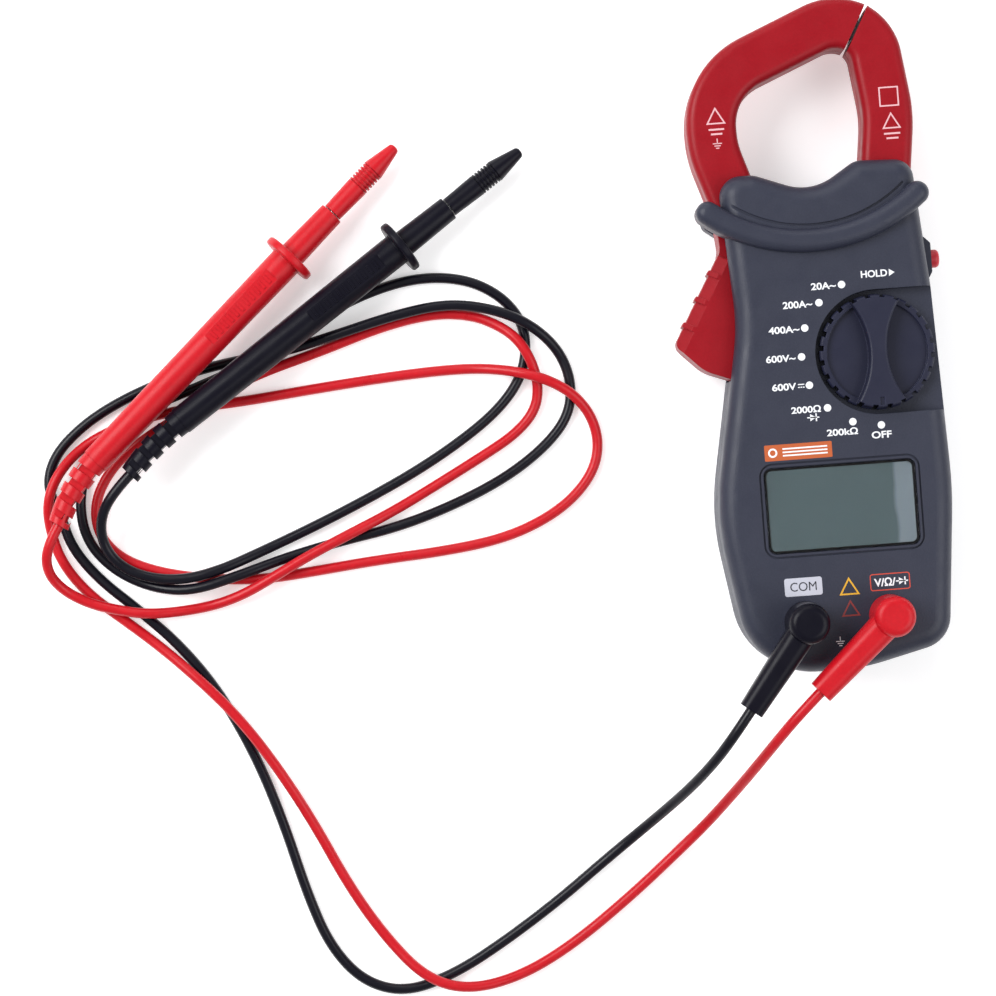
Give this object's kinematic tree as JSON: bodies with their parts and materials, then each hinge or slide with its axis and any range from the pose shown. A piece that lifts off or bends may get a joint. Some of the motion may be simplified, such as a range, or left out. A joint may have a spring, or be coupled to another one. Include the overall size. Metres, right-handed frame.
{
  "type": "clamp meter",
  "caption": "Hand-held clamp meter with a hinged jaw and trigger, rotary dial, display and two test leads ending in hand probes.",
  "frame": {"origin": "middle of the meter's box at the plane of its back face, leads left out", "axes": "+Z out of the dial side, +Y along the meter towards the jaws, +X to the side of the hold button"},
  "size_m": [0.2623, 0.2761, 0.0445],
  "materials": {
    "case_grey": "fine matte",
    "jaw_red": "satin",
    "core_steel": "laminated",
    "pin_steel": "bright",
    "spring_steel": "nickel plated",
    "natural_nylon": "matte",
    "copper_wire": "enamelled wire",
    "knob_black": "fine matte",
    "contact_brass": "nickel and brass",
    "button_red": "satin",
    "board_green": "solder mask",
    "chip_black": "moulded",
    "resistor_brown": "lacquer",
    "lens_clear": "clear, hard coated",
    "lcd_grey": "liquid crystal grey",
    "battery_can": "printed sleeve",
    "plastic_black": "semi gloss",
    "plastic_red": "semi gloss",
    "lead_black": "soft pvc",
    "lead_red": "soft pvc"
  },
  "bodies": {
    "root": {"battery_contacts": "spring_steel", "battery_door": "case_grey", "battery_left": "battery_can", "battery_right": "battery_can", "black_cord": "lead_black", "black_jack_tube": "contact_brass", "black_probe_boot": "plastic_black", "black_probe_handle": "plastic_black", "black_probe_tip": "pin_steel", "buzzer": "chip_black", "case_screws": "pin_steel", "coil_bobbin": "natural_nylon", "coil_winding": "copper_wire", "display_holder": "knob_black", "display_lens": "lens_clear", "display_panel": "lcd_grey", "door_screw": "pin_steel", "fixed_jaw_core": "core_steel", "fixed_jaw_front": "jaw_red", "fixed_jaw_rear": "jaw_red", "front_cover": "case_grey", "fuse_resistor": "resistor_brown", "hold_switch": "knob_black", "main_board": "board_green", "measuring_chips": "chip_black", "pivot_pin": "pin_steel", "rear_cover": "case_grey", "red_cord": "lead_red", "red_jack_tube": "contact_brass", "red_probe_boot": "plastic_red", "red_probe_handle": "plastic_red", "red_probe_tip": "pin_steel", "trigger_spring": "spring_steel", "zebra_strip": "chip_black"},
    "moving_jaw": {"moving_jaw_front": "jaw_red", "moving_jaw_rear": "jaw_red", "moving_jaw_core": "core_steel"},
    "dial": {"dial_knob": "knob_black", "dial_rotor": "natural_nylon", "rotor_contacts": "contact_brass", "detent_balls": "pin_steel"},
    "hold_button_body": {"hold_button": "button_red"},
    "black_plug_body": {"black_plug": "plastic_black", "black_plug_pin": "contact_brass"},
    "red_plug_body": {"red_plug": "plastic_red", "red_plug_pin": "contact_brass"},
    "black_cap_body": {"black_tip_cap": "plastic_black"},
    "red_cap_body": {"red_tip_cap": "plastic_red"}
  },
  "joints": [
    {"name": "jaw_pivot", "type": "hinge", "parent": "root", "child": "moving_jaw", "pos_m": [-0.018, 0.036, 0.015], "axis": [0, 0, 1], "range_deg": [0, 23], "stiffness_Nm_per_rad": 0.35, "springref_deg": -20.05, "deforming": ["trigger_spring"]},
    {"name": "dial_turn", "type": "hinge", "parent": "root", "child": "dial", "pos_m": [0.0171, -0.0063, 0.026], "axis": [0, 0, 1], "range_deg": [-157.5, 0]},
    {"name": "hold_press", "type": "slide", "parent": "root", "child": "hold_button_body", "axis": [-1, 0, 0], "range_m": [0, 0.0012], "stiffness_N_per_m": 500, "springref_m": -0.001},
    {"name": "black_plug_pull", "type": "slide", "parent": "root", "child": "black_plug_body", "axis": [0, 0, 1], "range_m": [0, 0.02]},
    {"name": "red_plug_pull", "type": "slide", "parent": "root", "child": "red_plug_body", "axis": [0, 0, 1], "range_m": [0, 0.02]},
    {"name": "black_cap_pull", "type": "slide", "parent": "root", "child": "black_cap_body", "axis": [0.8227, 0.5654, -0.0593], "range_m": [0, 0.03]},
    {"name": "red_cap_pull", "type": "slide", "parent": "root", "child": "red_cap_body", "axis": [0.7372, 0.6731, -0.0593], "range_m": [0, 0.03]}
  ]
}
